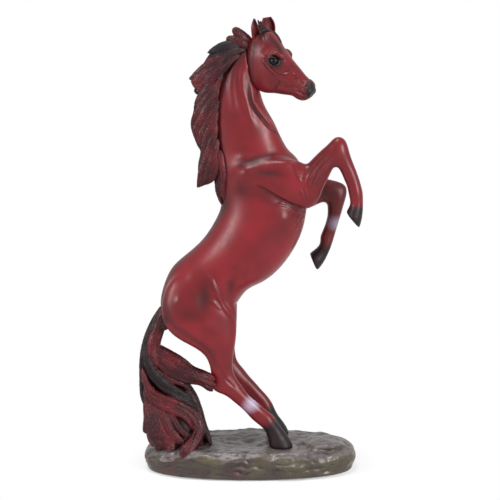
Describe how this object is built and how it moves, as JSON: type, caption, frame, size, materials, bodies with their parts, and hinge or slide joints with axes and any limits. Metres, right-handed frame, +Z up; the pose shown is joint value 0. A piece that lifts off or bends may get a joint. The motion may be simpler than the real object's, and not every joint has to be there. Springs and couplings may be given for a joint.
{
  "type": "horse statue",
  "caption": "Rearing horse statue in glossy dark red cast resin, with flowing mane and tail, standing on its hind legs on an oval rock plinth.",
  "frame": {"origin": "centre of the felt's underside, on the surface that the statue stands on", "axes": "+Z up, +X the way the horse faces, +Y towards the horse's own left"},
  "size_m": [0.1956, 0.084, 0.4003],
  "materials": {
    "coat_paint": "cast resin, airbrushed dark red under satin-gloss lacquer",
    "leg_paint": "cast resin, dark red faded to black at the hooves under satin-gloss lacquer",
    "hair_paint": "cast resin, dark red with black wiped into the grooves under satin-gloss lacquer",
    "eye_lacquer": "gloss black lacquer",
    "plinth_paint": "cast resin, grey-brown rock paint",
    "felt": "black pressed felt",
    "steel_rod": "bright drawn steel rod",
    "dowel_wood": "plain hardwood dowel"
  },
  "bodies": {
    "root": {"base_rock": "plinth_paint", "base_felt": "felt", "torso": "coat_paint", "neck": "coat_paint", "head": "coat_paint", "right_ear": "coat_paint", "left_ear": "coat_paint", "right_eye": "eye_lacquer", "left_eye": "eye_lacquer", "forelock": "hair_paint", "mane_poll_lock": "hair_paint", "mane_crest": "hair_paint", "mane_fall": "hair_paint", "mane_withers_lock": "hair_paint", "right_foreleg": "leg_paint", "left_foreleg": "leg_paint", "right_hind_leg": "leg_paint", "left_hind_leg": "leg_paint", "tail": "hair_paint", "tail_hock_lock": "hair_paint", "right_hind_rod": "steel_rod", "left_hind_rod": "steel_rod", "right_foreleg_pin": "steel_rod", "left_foreleg_pin": "steel_rod", "neck_dowel": "dowel_wood", "head_pin": "steel_rod", "tail_root_pin": "steel_rod", "tail_foot_pin": "steel_rod"}
  },
  "joints": []
}
